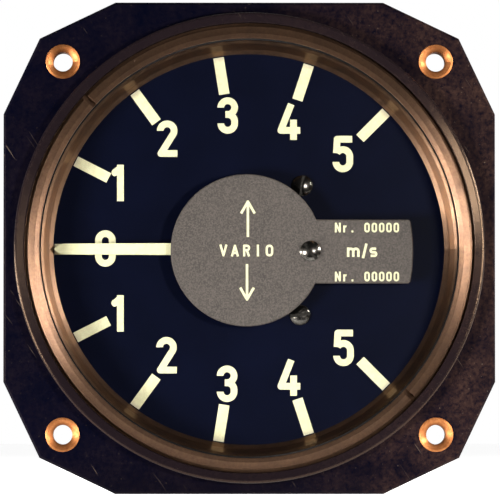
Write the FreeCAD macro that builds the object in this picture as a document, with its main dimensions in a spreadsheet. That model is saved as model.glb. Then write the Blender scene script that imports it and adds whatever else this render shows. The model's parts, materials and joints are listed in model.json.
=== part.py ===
"""Panel-mounted vane variometer: the whole instrument as an assembly of separate pieces.

Millimetres.  The instrument's axis is Y: the dial looks towards -Y and the hose
connections point to +Y.  X is to the right and Z is up as the reader sees the dial.
The origin is the centre of the mounting flange's front face.
"depth" is always a distance along +Y from that face.
"""
import FreeCAD, Part
import math
import os

import Sketcher
from fcgear import fcgear
from fcgear import involute

DIMENSIONS = [
    # mounting flange, rim and case
    ("flange_half", 41.5, "centre to each long side of the flange"),
    ("flange_side_half", 22.6, "half of each long side"),
    ("flange_shoulder", 35.4, "both coordinates of the vertex in the middle of each corner"),
    ("flange_depth", 5.5, "thickness of the flange"),
    ("flange_edge", 0.4, "chamfer round the flange"),
    ("rim_radius", 39.7, "raised rim that fills the panel cut-out"),
    ("rim_front", -2.6, "front of the rim at its outer edge"),
    ("rim_inner_front", -1.9, "front of the rim at the bore: its face slopes inwards"),
    ("rim_round", 0.4, "outer rounding of the rim"),
    ("rim_bevel", 0.15, "chamfer at the mouth of the bore"),
    ("barrel_radius", 39.5, "outside of the case"),
    ("case_depth", 42.0, "rear face of the case"),
    ("case_floor", 38.5, "inside of the rear wall"),
    ("case_bore", 35.0, "inside of the barrel behind the dial"),
    ("case_round", 1.5, "rear outer edge"),
    ("thread_bore", 38.0, "bore for the retaining ring"),
    ("glass_shoulder", 3.5, "step that the gasket lies on"),
    ("dial_bore", 36.2, "bore that centres the dial"),
    ("dial_rear", 8.8, "ledge that the dial rests on"),
    # panel inserts
    ("insert_place", 31.5, "X and Z of each insert: half the standard hole spacing"),
    ("insert_radius", 2.9, "outside of each insert"),
    ("insert_bore", 1.65, "bore of each insert"),
    ("insert_proud", 0.15, "how far each insert stands above the flange"),
    ("insert_sink", 0.55, "depth of the countersink at the mouth"),
    ("insert_flare", 0.9, "width of the countersink at the mouth"),
    # front glazing
    ("ring_front", -1.5, "front of the retaining ring"),
    ("ring_rear", 0.4, "rear of the retaining ring"),
    ("glass_front", 0.7, "front of the glass: a rubber ring fills the gap in front of it"),
    ("front_gasket_bore", 35.2, "opening of the front gasket, a little inside the ring's"),
    ("ring_radius", 37.45, "plain front part of the retaining ring"),
    ("ring_thread", 37.95, "threaded part of the retaining ring"),
    ("ring_bore", 35.45, "clear opening of the retaining ring"),
    ("ring_shoulder", 36.2, "where the ring's domed face meets its inner bevel"),
    ("ring_bevel", 0.25, "depth of the inner bevel"),
    ("ring_crown", 3.2, "radius of the ring's domed face"),
    ("ring_edge", 0.12, "bevel on the ring's edges"),
    ("ring_slot_width", 0.9, "width of the two spanner slots"),
    ("ring_slot_depth", 1.2, "depth of the spanner slots"),
    ("ring_slot_angle", 137.4, "direction of the spanner slots"),
    ("glass_rear", 2.7, "rear of the glass"),
    ("glass_radius", 37.6, "glass and gasket"),
    ("reflector_radius", 36.0, "outside of the reflector ring and dial"),
    ("reflector_throat", 33.25, "opening of the reflector ring at the dial"),
    ("reflector_lip", 7.75, "depth where the throat opens into the lower cone"),
    ("reflector_knee", 33.95, "radius between the two cones"),
    ("reflector_knee_depth", 6.8, "depth between the two cones"),
    ("reflector_edge", 0.45, "chamfer at the glass"),
    # dial
    ("dial_front", 8.0, "printed face of the dial"),
    ("dial_hole", 2.6, "hole for the pointer's hub"),
    ("mark_height", 0.05, "thickness of the printed paint"),
    ("scale_step", 27.0, "degrees for each metre per second"),
    ("bar_inner", 26.75, "inner end of the scale bars"),
    ("bar_outer", 33.05, "outer end of the scale bars"),
    ("bar_width", 1.8, "width of the scale bars"),
    ("digit_height", 6.2, "height of the figures"),
    ("screw_ring", 14.15, "radius of the two dial screws"),
    ("upper_screw_angle", 50.0, "direction of the upper dial screw"),
    ("lower_screw_angle", -52.0, "direction of the lower dial screw"),
    # cover plate in front of the pointer's hub
    ("cover_front", 4.2, "front of the cover plate"),
    ("cover_rear", 5.2, "rear of the cover plate"),
    ("cover_radius", 12.9, "round part of the cover plate"),
    ("cover_x", -0.4, "centre of the round part"),
    ("cover_z", -0.25, "centre of the round part"),
    ("tab_top", 4.95, "upper side of the tab"),
    ("tab_bottom", -5.88, "lower side of the tab"),
    ("tab_end", 28.0, "radius of the tab's end"),
    ("tab_corner", 27.3, "X of the tab's corners"),
    ("tab_round", 0.5, "rounding of the tab's corners"),
    ("cover_edge", 0.15, "chamfer round the cover's face"),
    ("cover_screw_x", 10.4, "place of the cover screw"),
    ("cover_screw_z", -0.4, "place of the cover screw"),
    ("spacer_inner", 8.4, "inner end of the spacer block"),
    ("spacer_outer", 20.0, "outer end of the spacer block"),
    ("spacer_half", 3.0, "half height of the spacer block"),
    ("peg_radius", 0.6, "locating pegs under the spacer block"),
    ("peg_inner", 14.0, "place of the inner peg"),
    ("peg_outer", 18.0, "place of the outer peg"),
    # small slotted screws
    ("face_screw_head", 1.75, "head radius of the dial and cover screws"),
    ("face_screw_shank", 0.8, "shank radius of the dial and cover screws"),
    ("dial_screw_length", 2.7, "under the head"),
    ("cover_screw_length", 6.4, "under the head"),
    # pointer and its shaft
    ("pointer_front", 6.0, "front of the pointer"),
    ("pointer_rear", 6.4, "rear of the pointer"),
    ("pointer_tip", 33.1, "radius of the pointer's tip"),
    ("pointer_neck", 31.4, "radius where the tip begins to narrow"),
    ("pointer_tip_half", 0.92, "half width at the narrowing"),
    ("pointer_ogive", 2.6, "radius of the tip's curved sides"),
    ("pointer_root_half", 1.05, "half width at the boss"),
    ("pointer_boss", 2.7, "round boss of the pointer"),
    ("hub_bore", 0.4, "front journal of the arbor"),
    ("hub_neck", 0.9, "neck of the hub in the pointer"),
    ("hub_head", 1.2, "riveted head of the hub"),
    ("hub_radius", 1.6, "body of the hub"),
    ("hub_front", 5.7, "front of the hub"),
    ("hub_rear", 7.6, "rear of the hub"),
    ("arbor_front", 5.8, "front end of the arbor"),
    ("arbor_step", 11.0, "where the arbor thickens"),
    ("arbor_radius", 0.75, "main part of the arbor"),
    ("arbor_shoulder", 31.3, "where the rear pivot begins"),
    ("arbor_pivot", 0.3, "radius of the rear pivot"),
    ("arbor_rear", 33.0, "rear end of the arbor"),
    # pivot bridge behind the dial
    ("bridge_rear", 10.8, "rear of the bridge plate"),
    ("bridge_radius", 21.0, "outside of the bridge plate"),
    ("bridge_window_inner", 5.2, "inner edge of the bridge's windows"),
    ("bridge_window_outer", 11.55, "outer edge of the bridge's windows"),
    ("bridge_window_angle", 105.0, "direction of the first of the three windows"),
    ("bridge_boss", 3.0, "boss that the regulator turns on"),
    ("bridge_boss_rear", 12.0, "rear of the boss"),
    ("leg_ring", 18.0, "radius of the three legs"),
    ("leg_radius", 2.0, "radius of each leg"),
    ("leg_angle", 45.0, "direction of the first leg"),
    ("leg_screw_head", 1.5, "head radius of the leg screws"),
    ("leg_screw_shank", 0.8, "shank radius of the leg screws"),
    ("leg_screw_seat", 10.1, "depth of the leg screws' heads"),
    ("leg_screw_length", 6.6, "under the head"),
    ("jewel_radius", 1.2, "both bearing jewels"),
    ("front_jewel_front", 9.5, "front of the front jewel"),
    ("front_jewel_hole", 0.43, "hole of the front jewel"),
    ("rear_jewel_front", 31.9, "front of the rear jewel"),
    ("rear_jewel_rear", 33.2, "rear of the rear jewel"),
    ("rear_jewel_hole", 0.33, "hole of the rear jewel"),
    ("jewel_screw_radius", 2.2, "threaded setting of the rear jewel"),
    ("jewel_screw_rear", 35.4, "rear end of the setting"),
    # hairspring and zero regulator
    ("collet_front", 12.2, "front of the collet"),
    ("collet_rear", 13.4, "rear of the collet"),
    ("collet_radius", 1.6, "outside of the collet"),
    ("spring_front", 12.4, "front edge of the hairspring"),
    ("spring_rear", 13.2, "rear edge of the hairspring"),
    ("spring_turns", 5.0, "turns of the hairspring"),
    ("spring_inner", 1.65, "radius of the inner end"),
    ("spring_outer", 8.0, "radius of the outer end"),
    ("spring_strip", 0.15, "thickness of the strip"),
    ("stud_radius", 0.6, "stud that holds the hairspring's outer end"),
    ("stud_rear", 13.4, "rear end of the stud"),
    ("regulator_front", 11.0, "front of the regulator arm"),
    ("regulator_rear", 11.8, "rear of the regulator arm"),
    ("regulator_bore", 3.04, "bore that turns on the bridge's boss"),
    ("regulator_eye", 4.6, "outside of the eye"),
    ("regulator_half", 1.4, "half width of the arm"),
    ("sector_inner", 27.0, "inside of the toothed sector"),
    ("sector_teeth", 150, "teeth of the full circle"),
    ("sector_angle", 28.0, "angle of the toothed sector"),
    ("clip_radius", 4.1, "outside of the retaining clip"),
    ("pinion_teeth", 10, "teeth of the adjuster's pinion"),
    ("gear_module", 0.4, "module of sector and pinion"),
    ("gear_clearance", 0.06, "added to the centre distance for backlash"),
    ("pinion_front", 10.8, "front of the pinion"),
    ("pinion_rear", 12.0, "rear of the pinion"),
    ("adjuster_angle", 225.0, "direction of the zero adjuster"),
    ("adjuster_tail", 0.7, "part of the adjuster in the pinion"),
    ("adjuster_radius", 1.0, "shaft of the zero adjuster"),
    ("adjuster_fit", 0.04, "clearance round the shaft"),
    ("adjuster_boss", 2.0, "pillar that guides the shaft"),
    ("adjuster_boss_front", 16.0, "front of the pillar"),
    ("adjuster_head", 2.3, "slotted head at the rear"),
    ("adjuster_head_front", 40.9, "front of the slotted head"),
    ("adjuster_rear", 43.2, "rear of the slotted head"),
    ("seal_seat", 39.8, "floor of the recess for the O-ring"),
    ("seal_section", 0.5, "section radius of the O-ring"),
    ("head_recess", 2.45, "recess round the slotted head"),
    # measuring chamber
    ("chamber_front", 15.0, "front of the chamber's cover"),
    ("chamber_joint", 17.0, "face between cover and body"),
    ("chamber_floor", 31.5, "inside of the chamber's floor"),
    ("chamber_rear", 34.0, "rear of the chamber"),
    ("chamber_radius", 29.6, "outside of the chamber"),
    ("chamber_bore", 26.2, "swept bore of the chamber"),
    ("cover_bore", 1.0, "hole for the arbor"),
    ("wall_screw_ring", 27.9, "radius of the screws in the chamber's wall"),
    ("chamber_screw_head", 1.7, "head radius of the chamber screws"),
    ("chamber_screw_shank", 0.9, "shank radius of the chamber screws"),
    ("chamber_screw_length", 7.0, "under the head"),
    ("partition_inner", 2.25, "inner edge of the partition"),
    ("partition_outer", 26.1, "outer edge of the partition"),
    ("partition_half", 1.5, "half thickness of the partition"),
    ("port_ring", 21.0, "radius of the two ports"),
    ("port_angle", 25.0, "angle of each port from the partition"),
    ("port_radius", 1.5, "bore of the ports and hose connections"),
    ("stop_ring", 10.0, "radius of the stop pins"),
    ("stop_angle", 32.4, "angle of each stop pin from the partition"),
    ("stop_radius", 1.0, "radius of the stop pins"),
    ("stop_front", 26.0, "front of the stop pins"),
    ("vane_front", 17.3, "front edge of the vane"),
    ("vane_rear", 31.2, "rear edge of the vane"),
    ("vane_tip", 26.0, "outer edge of the vane"),
    ("vane_sheet", 0.5, "thickness of the vane"),
    ("vane_hub_radius", 2.0, "tube that carries the vane"),
    ("balance_front", 13.7, "front of the balance weight"),
    ("balance_rear", 14.5, "rear of the balance weight"),
    ("balance_inner", 9.0, "inside of the balance weight's segment"),
    ("balance_outer", 15.2, "outside of the balance weight's segment"),
    ("balance_angle", 66.0, "angle of the balance weight's segment"),
    ("balance_arm_half", 0.9, "half width of the balance arm"),
    # rear of the case
    ("mover_first", 90.0, "direction of the first movement screw"),
    ("mover_head", 2.3, "head radius of the movement screws"),
    ("mover_shank", 1.25, "shank radius of the movement screws"),
    ("mover_seat", 40.1, "depth of the heads' seat"),
    ("mover_washer", 0.4, "thickness of the sealing washers"),
    ("mover_length", 10.0, "under the head"),
    ("mover_boss", 3.0, "bosses between case and chamber"),
    ("nipple_thread", 2.5, "threaded part of the hose connections"),
    ("nipple_front", 35.2, "front end of the flask connection"),
    ("nipple_washer", 0.5, "thickness of the washers"),
    ("nipple_flange", 4.2, "flange of the hose connections"),
    ("nipple_flange_rear", 44.2, "rear of the flange"),
    ("nipple_radius", 3.0, "hose spigot"),
    ("nipple_groove", 2.7, "bottom of the grooves in the spigot"),
    ("nipple_rear", 55.0, "end of the hose connections"),
    ("port_seal_radius", 4.6, "sleeve between chamber and rear wall"),
    ("label_half_width", 13.0, "blank rear plate"),
    ("label_half_height", 6.5, "blank rear plate"),
    ("label_x", -10.5, "centre of the rear plate"),
    ("label_z", 8.0, "centre of the rear plate"),
    ("label_sheet", 0.4, "thickness of the rear plate"),
    ("rivet_inset", 1.6, "rivets from the plate's ends"),
    ("rivet_radius", 0.8, "heads of the rivets"),
    ("rivet_edge", 0.2, "height of the rivets' edge"),
    ("rivet_crown", 0.5, "height of the rivets' dome"),
]

doc = FreeCAD.newDocument("variometer")
dims = doc.addObject("Spreadsheet::Sheet", "dims")
subparts = []


# ---------------------------------------------------------------- sizes and expressions


def fill_sheet():
    """One row for each driving dimension: value with its alias, then its meaning."""
    for row, (name, number, meaning) in enumerate(DIMENSIONS, start=1):
        dims.set(f"A{row}", str(number))
        dims.setAlias(f"A{row}", name)
        dims.set(f"B{row}", meaning)
    doc.recompute()


def size(name):
    """The number in the cell with this alias."""
    return float(getattr(dims, name))


def across(radius, angle):
    """X expression of a place given by a radius and an angle from +X towards +Z."""
    return f"({radius}) * cos({angle})"


def upward(radius, angle):
    """Z expression of a place given by a radius and an angle from +X towards +Z."""
    return f"({radius}) * sin({angle})"


def number_of(holder, expression):
    """What an expression is worth at the moment."""
    result = holder.evalExpression(expression)
    return float(getattr(result, "Value", result))


# ---------------------------------------------------------------- sketches


def origin_plane(body, role):
    """A body's own plane or axis, found by its role."""
    return next(item for item in body.Origin.OriginFeatures if item.Role == role)


def new_sketch(body, role, depth=None, turn=0.0):
    """A sketch on one of the body's planes.

    On XZ_Plane the sketch's x and y are the part's X and Z, and its normal is -Y.
    """
    sketch = body.newObject("Sketcher::SketchObject", f"{body.Label}_sketch")
    sketch.AttachmentSupport = [(origin_plane(body, role), "")]
    sketch.MapMode = "FlatFace"
    turning = FreeCAD.Rotation(FreeCAD.Vector(0, 0, 1), turn)
    sketch.AttachmentOffset = FreeCAD.Placement(FreeCAD.Vector(), turning)
    if depth is not None:
        sketch.setExpression("AttachmentOffset.Base.z", f"-({depth})")
    return sketch


def hold_point(sketch, edge, end, x, y):
    """Tie one point of the sketch to a place given by two expressions."""
    for kind, expression in (("DistanceX", x), ("DistanceY", y)):
        distance = number_of(sketch, expression)
        index = sketch.addConstraint(Sketcher.Constraint(kind, -1, 1, edge, end, distance))
        sketch.setExpression(f"Constraints[{index}]", expression)


def arc_between(start, finish, radius, bulge):
    """The short arc from start to finish that bulges to the left (+1) or right (-1)."""
    chord = finish - start
    middle = (start + finish) * 0.5
    left = FreeCAD.Vector(-chord.y, chord.x, 0).normalize()
    height = math.sqrt(radius**2 - (chord.Length / 2) ** 2)
    centre = middle - left * height * bulge
    first, last = (finish, start) if bulge > 0 else (start, finish)
    from_angle = math.atan2(first.y - centre.y, first.x - centre.x)
    to_angle = math.atan2(last.y - centre.y, last.x - centre.x)
    if to_angle < from_angle:
        to_angle += 2 * math.pi
    circle = Part.Circle(centre, FreeCAD.Vector(0, 0, 1), radius)
    return Part.ArcOfCircle(circle, from_angle, to_angle)


def draw_outline(sketch, corners, arcs=None):
    """A closed outline through corners given as pairs of expressions.

    arcs maps the number of an edge to (radius expression, bulge): that edge, which
    leaves the corner of the same number, is an arc.
    """
    arcs = arcs or {}
    places = [FreeCAD.Vector(number_of(sketch, x), number_of(sketch, y), 0) for x, y in corners]
    ends = []
    for number, start in enumerate(places):
        finish = places[(number + 1) % len(places)]
        if number in arcs:
            radius, bulge = arcs[number]
            arc = arc_between(start, finish, number_of(sketch, radius), bulge)
            edge = sketch.addGeometry(arc)
            index = sketch.addConstraint(Sketcher.Constraint("Radius", edge, number_of(sketch, radius)))
            sketch.setExpression(f"Constraints[{index}]", radius)
            ends.append((edge, 2, 1) if bulge > 0 else (edge, 1, 2))
        else:
            ends.append((sketch.addGeometry(Part.LineSegment(start, finish)), 1, 2))
    for number, (edge, first, _) in enumerate(ends):
        before, _, last = ends[number - 1]
        sketch.addConstraint(Sketcher.Constraint("Coincident", before, last, edge, first))
        hold_point(sketch, edge, first, *corners[number])


def draw_circle(sketch, radius, x=None, y=None):
    """A circle whose radius and centre are expressions; without a centre, at the origin."""
    place = FreeCAD.Vector()
    if x is not None:
        place = FreeCAD.Vector(number_of(sketch, x), number_of(sketch, y), 0)
    circle = Part.Circle(place, FreeCAD.Vector(0, 0, 1), number_of(sketch, radius))
    edge = sketch.addGeometry(circle)
    index = sketch.addConstraint(Sketcher.Constraint("Radius", edge, number_of(sketch, radius)))
    sketch.setExpression(f"Constraints[{index}]", radius)
    if x is None:
        sketch.addConstraint(Sketcher.Constraint("Coincident", edge, 3, -1, 1))
    else:
        hold_point(sketch, edge, 3, x, y)


def rectangle(left, right, low, high):
    """Corners of a rectangle, from four expressions."""
    return [(left, low), (right, low), (right, high), (left, high)]


# ---------------------------------------------------------------- bodies and features


def new_body(label):
    """An empty body; a sub-part may be several solids."""
    body = doc.addObject("PartDesign::Body", label)
    body.Label = label
    body.AllowCompound = True
    return body


def keep(item):
    """Put an object on the list of sub-parts."""
    subparts.append(item)
    return item


def revolve(body, corners, arcs=None):
    """Turn an outline of (radius, depth) pairs about the body's Y axis."""
    sketch = new_sketch(body, "XY_Plane")
    draw_outline(sketch, corners, arcs)
    feature = body.newObject("PartDesign::Revolution", f"{body.Label}_turned")
    feature.Profile = sketch
    feature.ReferenceAxis = (sketch, ["V_Axis"])
    feature.Angle = 360
    return feature


def pad(body, draw, front, rear, turn=0.0):
    """Fill what draw(sketch) draws from one depth to another."""
    sketch = new_sketch(body, "XZ_Plane", rear, turn)
    draw(sketch)
    feature = body.newObject("PartDesign::Pad", f"{body.Label}_pad")
    feature.Profile = sketch
    feature.setExpression("Length", f"({rear}) - ({front})")
    return feature


def pocket(body, draw, front, rear, turn=0.0):
    """Cut what draw(sketch) draws from one depth to another."""
    before = volume_so_far(body)
    sketch = new_sketch(body, "XZ_Plane", front, turn)
    draw(sketch)
    feature = body.newObject("PartDesign::Pocket", f"{body.Label}_pocket")
    feature.Profile = sketch
    feature.setExpression("Length", f"({rear}) - ({front})")
    if not volume_so_far(body) < before:
        raise RuntimeError(f"{feature.Name} cut nothing")
    return feature


def volume_so_far(body):
    """The body's volume after a recompute."""
    doc.recompute()
    return body.Shape.Volume


def rim_edges(body, radius, depth):
    """Names of the circular edges of this radius at this depth."""
    names = []
    for number, edge in enumerate(body.Shape.Edges, start=1):
        if not isinstance(edge.Curve, Part.Circle):
            continue
        same_radius = abs(edge.Curve.Radius - radius) < 1e-4
        if same_radius and abs(edge.Curve.Center.y - depth) < 1e-4:
            names.append(f"Edge{number}")
    return names


def face_edges(body, depth):
    """Names of the straight edges that lie at this depth."""
    names = []
    for number, edge in enumerate(body.Shape.Edges, start=1):
        flat = all(abs(vertex.Point.y - depth) < 1e-4 for vertex in edge.Vertexes)
        if flat and isinstance(edge.Curve, Part.Line):
            names.append(f"Edge{number}")
    return names


def dress(body, kind, names, expression):
    """A fillet or chamfer on the named edges of the body so far."""
    base = body.Tip
    feature = body.newObject(f"PartDesign::{kind}", f"{body.Label}_{kind.lower()}")
    feature.Base = (base, names)
    feature.setExpression("Radius" if kind == "Fillet" else "Size", expression)
    doc.recompute()
    return feature


def place(item, x, z, depth=None, turn=0.0):
    """Move a sub-part across the instrument, and turn it about its own Y axis."""
    turning = FreeCAD.Rotation(FreeCAD.Vector(0, -1, 0), turn)
    item.Placement = FreeCAD.Placement(FreeCAD.Vector(), turning)
    item.setExpression("Placement.Base.x", x)
    item.setExpression("Placement.Base.z", z)
    if depth is not None:
        item.setExpression("Placement.Base.y", depth)
    return item


def turned(label, corners, arcs=None):
    """A body made only by turning an outline."""
    body = new_body(label)
    revolve(body, corners, arcs)
    return body


def ring(label, inner, outer, front, rear):
    """A plain turned ring."""
    return turned(label, rectangle(inner, outer, front, rear))


def rod(label, radius, front, rear, x, z):
    """A plain round pin parallel to the instrument's axis."""
    pin = doc.addObject("Part::Cylinder", label)
    pin.Label = label
    pin.setExpression("Radius", radius)
    pin.setExpression("Height", f"({rear}) - ({front})")
    turning = FreeCAD.Rotation(FreeCAD.Vector(1, 0, 0), -90)
    pin.Placement = FreeCAD.Placement(FreeCAD.Vector(), turning)
    pin.setExpression("Placement.Base.x", x)
    pin.setExpression("Placement.Base.y", front)
    pin.setExpression("Placement.Base.z", z)
    return pin


def group(label, members):
    """Several loose solids in one sub-part."""
    whole = doc.addObject("Part::Compound", label)
    whole.Label = label
    whole.Links = members
    return whole


def dome_radius(base, height):
    """Radius of a dome from the radius of its base and its height."""
    return f"(({base})^2 + ({height})^2) / (2 * ({height}))"


def screw(label, head, shank, length, from_rear=False):
    """A domed slotted screw with its seat at depth 0 and its head towards -Y."""
    edge = f"-0.25 * {head}"
    crown = f"-0.62 * {head}"
    body = turned(
        label,
        [
            ("0", crown),
            (head, edge),
            (head, "0"),
            (shank, "0"),
            (shank, length),
            ("0", length),
        ],
        {0: (dome_radius(head, f"{edge} - ({crown})"), -1)},
    )
    slot = rectangle(f"-1.2 * {head}", f"1.2 * {head}", f"-0.16 * {head}", f"0.16 * {head}")
    pocket(body, outline(slot), f"-0.7 * {head}", f"-0.28 * {head}")
    if from_rear:
        body.Placement.Rotation = FreeCAD.Rotation(FreeCAD.Vector(1, 0, 0), 180)
    return body


# ---------------------------------------------------------------- case


def flange_outline(sketch):
    """Square flange whose corners are cut twice, so it has twelve sides."""
    half = "dims.flange_half"
    side = "dims.flange_side_half"
    shoulder = "dims.flange_shoulder"
    corners = [
        (half, f"-{side}"),
        (half, side),
        (shoulder, shoulder),
        (side, half),
        (f"-{side}", half),
        (f"-{shoulder}", shoulder),
        (f"-{half}", side),
        (f"-{half}", f"-{side}"),
        (f"-{shoulder}", f"-{shoulder}"),
        (f"-{side}", f"-{half}"),
        (side, f"-{half}"),
        (shoulder, f"-{shoulder}"),
    ]
    draw_outline(sketch, corners)


def at_four_corners(radius):
    """Draws a circle at each of the four fixing places."""

    def draw(sketch):
        for x in ("dims.insert_place", "-dims.insert_place"):
            for z in ("dims.insert_place", "-dims.insert_place"):
                draw_circle(sketch, radius, x, z)

    return draw


def disc(radius, x=None, z=None):
    """Draws one circle."""
    return lambda sketch: draw_circle(sketch, radius, x, z)


def outline(corners, arcs=None):
    """Draws one closed outline."""
    return lambda sketch: draw_outline(sketch, corners, arcs)


def on_a_ring(radius, ring_radius, angles):
    """Draws a circle at each angle of a ring."""

    def draw(sketch):
        for angle in angles:
            draw_circle(sketch, radius, across(ring_radius, angle), upward(ring_radius, angle))

    return draw


MOVER_ANGLES = ["dims.mover_first", "dims.mover_first + 120", "dims.mover_first + 240"]
PORT_ANGLES = ["dims.port_angle", "-dims.port_angle"]
LEG_ANGLES = ["dims.leg_angle", "dims.leg_angle + 120", "dims.leg_angle + 240"]
GEAR_DISTANCE = "(dims.gear_module * (dims.sector_teeth + dims.pinion_teeth) / 2 + dims.gear_clearance)"
ADJUSTER_ANGLES = ["dims.adjuster_angle"]
CHAMBER_SCREW_ANGLES = ["45", "135", "195", "315"]


def make_case():
    """Moulded case: flange, rim, barrel, rear wall, bosses and all its holes."""
    body = new_body("case")
    revolve(
        body,
        [
            ("dims.thread_bore", "dims.rim_inner_front"),
            ("dims.rim_radius", "dims.rim_front"),
            ("dims.rim_radius", "dims.flange_edge"),
            ("dims.barrel_radius", "dims.flange_edge"),
            ("dims.barrel_radius", "dims.case_depth"),
            ("0", "dims.case_depth"),
            ("0", "dims.case_floor"),
            ("dims.case_bore", "dims.case_floor"),
            ("dims.case_bore", "dims.dial_rear"),
            ("dims.dial_bore", "dims.dial_rear"),
            ("dims.dial_bore", "dims.glass_shoulder"),
            ("dims.thread_bore", "dims.glass_shoulder"),
        ],
    )
    doc.recompute()
    outer = rim_edges(body, size("rim_radius"), size("rim_front"))
    dress(body, "Fillet", outer, "dims.rim_round")
    inner = rim_edges(body, size("thread_bore"), size("rim_inner_front"))
    dress(body, "Chamfer", inner, "dims.rim_bevel")
    back = rim_edges(body, size("barrel_radius"), size("case_depth"))
    dress(body, "Fillet", back, "dims.case_round")

    def flange_with_opening(sketch):
        flange_outline(sketch)
        draw_circle(sketch, "dims.barrel_radius - 1")

    pad(body, flange_with_opening, "0", "dims.flange_depth")
    doc.recompute()
    edges = face_edges(body, 0) + face_edges(body, size("flange_depth"))
    dress(body, "Chamfer", edges, "dims.flange_edge")

    mover_bosses = on_a_ring("dims.mover_boss", "dims.wall_screw_ring", MOVER_ANGLES)
    pad(body, mover_bosses, "dims.chamber_rear", "dims.case_floor + 1")
    pillar = on_a_ring("dims.adjuster_boss", GEAR_DISTANCE, ADJUSTER_ANGLES)
    pad(body, pillar, "dims.adjuster_boss_front", "dims.case_floor + 1")
    web = on_a_ring("dims.adjuster_boss", "dims.case_bore - 0.8", ADJUSTER_ANGLES)
    pad(body, web, "dims.adjuster_boss_front", "dims.case_floor + 1")

    pocket(body, at_four_corners("dims.insert_radius"), "-1", "dims.flange_depth + 1")
    past = "dims.case_depth + 1"
    shaft_hole = on_a_ring("dims.adjuster_radius + dims.adjuster_fit", GEAR_DISTANCE, ADJUSTER_ANGLES)
    pocket(body, shaft_hole, "dims.adjuster_boss_front - 1", past)
    pocket(body, on_a_ring("dims.head_recess", GEAR_DISTANCE, ADJUSTER_ANGLES), "dims.seal_seat", past)
    mover_holes = on_a_ring("dims.mover_shank + 0.1", "dims.wall_screw_ring", MOVER_ANGLES)
    pocket(body, mover_holes, "dims.chamber_rear - 1", past)
    mover_seats = on_a_ring("dims.mover_head + 0.2", "dims.wall_screw_ring", MOVER_ANGLES)
    pocket(body, mover_seats, "dims.mover_seat", past)
    ports = on_a_ring("dims.nipple_thread", "dims.port_ring", PORT_ANGLES)
    pocket(body, ports, "dims.case_floor - 1", past)
    keep(body)


def make_panel_inserts():
    """Four threaded inserts for the panel screws, countersunk at the mouth."""
    body = new_body("panel_inserts")

    def draw(sketch):
        at_four_corners("dims.insert_radius")(sketch)
        at_four_corners("dims.insert_bore")(sketch)

    pad(body, draw, "-dims.insert_proud", "dims.flange_depth")
    doc.recompute()
    front = -size("insert_proud")
    sink = dress(body, "Chamfer", rim_edges(body, size("insert_bore"), front), "dims.insert_sink")
    sink.ChamferType = "Two distances"
    sink.setExpression("Size2", "dims.insert_flare")
    dress(body, "Fillet", rim_edges(body, size("insert_radius"), front), "0.1")
    keep(body)


# ---------------------------------------------------------------- glazing and dial


def make_retaining_ring():
    """Screwed ring with a domed face and two opposite spanner slots."""
    body = turned(
        "retaining_ring",
        [
            ("dims.ring_bore", "dims.ring_rear"),
            ("dims.ring_bore", "dims.ring_front + dims.ring_bevel + dims.ring_edge"),
            ("dims.ring_bore + dims.ring_edge", "dims.ring_front + dims.ring_bevel"),
            ("dims.ring_shoulder", "dims.ring_front"),
            ("dims.ring_radius - dims.ring_edge", "dims.ring_front + dims.ring_edge"),
            ("dims.ring_radius", "dims.ring_front + 2 * dims.ring_edge"),
            ("dims.ring_radius", "dims.ring_rear - 1.1"),
            ("dims.ring_thread", "dims.ring_rear - 0.9"),
            ("dims.ring_thread", "dims.ring_rear"),
        ],
        {3: ("dims.ring_crown", 1)},
    )
    half = "0.5 * dims.ring_slot_width"
    slot = rectangle("-dims.rim_radius", "dims.rim_radius", f"-{half}", half)
    rear = "dims.ring_front + dims.ring_slot_depth"
    turn = size("ring_slot_angle")
    pocket(body, outline(slot), "dims.ring_front - 1", rear, turn)
    keep(body)


def make_glazing():
    """Flat glass between two gaskets, and the ring that spaces the dial from it."""
    glass = [
        ("0", "dims.glass_front"),
        ("dims.glass_radius", "dims.glass_front"),
        ("dims.glass_radius", "dims.glass_rear"),
        ("0", "dims.glass_rear"),
    ]
    keep(turned("glass", glass))
    edge = "dims.glass_radius"
    keep(ring("front_gasket", "dims.front_gasket_bore", edge, "dims.ring_rear", "dims.glass_front"))
    keep(ring("glass_gasket", "dims.dial_bore", edge, "dims.glass_rear", "dims.glass_shoulder"))
    reflector = [
        ("dims.front_gasket_bore", "dims.glass_rear"),
        ("dims.reflector_radius", "dims.glass_rear"),
        ("dims.reflector_radius", "dims.dial_front"),
        ("dims.reflector_throat", "dims.dial_front"),
        ("dims.reflector_throat", "dims.reflector_lip"),
        ("dims.reflector_knee", "dims.reflector_knee_depth"),
        ("dims.front_gasket_bore - dims.reflector_edge", "dims.glass_rear + dims.reflector_edge"),
    ]
    keep(turned("reflector_ring", reflector))


def make_dial():
    """Flat dial plate with the holes for hub, screws and locating pegs."""
    body = new_body("dial")
    clearance = "dims.face_screw_shank + 0.05"
    screw_angles = ["dims.upper_screw_angle", "dims.lower_screw_angle"]
    screw_holes = on_a_ring(clearance, "dims.screw_ring", screw_angles)

    def draw(sketch):
        draw_circle(sketch, "dims.reflector_radius")
        draw_circle(sketch, "dims.dial_hole")
        screw_holes(sketch)
        draw_circle(sketch, clearance, "dims.cover_screw_x", "dims.cover_screw_z")
        draw_circle(sketch, "dims.peg_radius", "dims.peg_inner", "dims.cover_screw_z")
        draw_circle(sketch, "dims.peg_radius", "dims.peg_outer", "dims.cover_screw_z")

    pad(body, draw, "dims.dial_front", "dims.dial_rear")
    keep(body)


# ---------------------------------------------------------------- painted figures

# Figures are drawn as strokes on a grid where the capitals are 6.2 high and the pen is 1.15 wide.
GRID_HEIGHT = 6.2
PEN = 1.15
TOP = 3.1
BOTTOM = -3.1
SIDE = 1.175
BOW = 1.35
LINE_TOP = 2.525


def line(*points):
    """A stroke through points: flat ends, round joins."""
    return ("line", points)


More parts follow.
